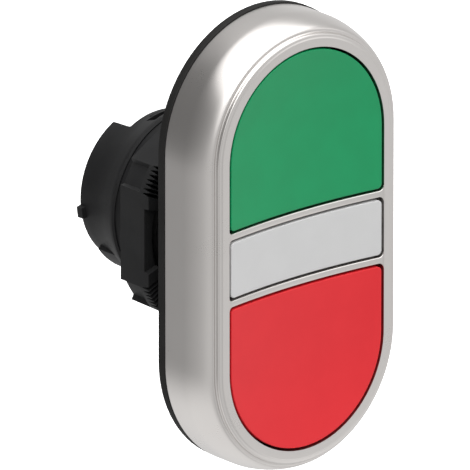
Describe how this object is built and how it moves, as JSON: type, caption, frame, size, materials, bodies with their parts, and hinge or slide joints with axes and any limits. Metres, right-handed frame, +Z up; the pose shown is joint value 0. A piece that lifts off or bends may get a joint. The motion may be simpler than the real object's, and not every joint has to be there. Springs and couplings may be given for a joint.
{
  "type": "double push-button head",
  "caption": "Panel-mount double push-button head: green cap over red cap with a white lens between, satin metal bezel, threaded neck and hexagonal ring nut.",
  "frame": {"origin": "on the axis of the threaded neck, in the plane of the gasket's back face, which lies on the front of the panel", "axes": "+Y along the neck to the back of the panel, +Z up along the head's length, +X to the right of a person who faces the buttons"},
  "size_m": [0.0302, 0.0289, 0.0551],
  "materials": {
    "satin_metal": "satin chrome plating",
    "green_plastic": "satin moulded",
    "red_plastic": "satin moulded",
    "lens_white": "satin, translucent white",
    "clear_guide": "clear moulded acrylic",
    "black_plastic": "fine moulded texture",
    "nut_plastic": "satin moulded",
    "inner_plastic": "plain moulded",
    "gasket_rubber": "matte",
    "seal_rubber": "matte",
    "spring_steel": "drawn wire"
  },
  "bodies": {
    "head": {"bezel_shell": "satin_metal", "front_frame": "satin_metal", "frame_seal": "seal_rubber", "indicator_lens": "lens_white", "lens_seal": "seal_rubber", "light_guide": "clear_guide", "mount_body": "black_plastic", "plunger_guide": "inner_plastic", "rear_collar": "black_plastic", "panel_gasket": "gasket_rubber", "upper_return_spring": "spring_steel", "lower_return_spring": "spring_steel", "upper_seal_boot": "seal_rubber", "lower_seal_boot": "seal_rubber"},
    "green_push": {"green_button": "green_plastic", "upper_carrier": "inner_plastic", "upper_plunger": "inner_plastic"},
    "red_push": {"red_button": "red_plastic", "lower_carrier": "inner_plastic", "lower_plunger": "inner_plastic"},
    "ring_nut": {"locking_nut": "nut_plastic"}
  },
  "joints": [
    {"name": "green_press", "type": "slide", "parent": "head", "child": "green_push", "axis": [0, 1, 0], "range_m": [0, 0.0035], "stiffness_N_per_m": 350, "springref_m": -0.006, "deforming": ["upper_return_spring", "upper_seal_boot"]},
    {"name": "red_press", "type": "slide", "parent": "head", "child": "red_push", "axis": [0, 1, 0], "range_m": [0, 0.0035], "stiffness_N_per_m": 350, "springref_m": -0.006, "deforming": ["lower_return_spring", "lower_seal_boot"]},
    {"name": "nut_turn", "type": "hinge", "parent": "head", "child": "ring_nut", "pos_m": [0, 0.0062, 0], "axis": [0, 1, 0], "continuous": true}
  ]
}
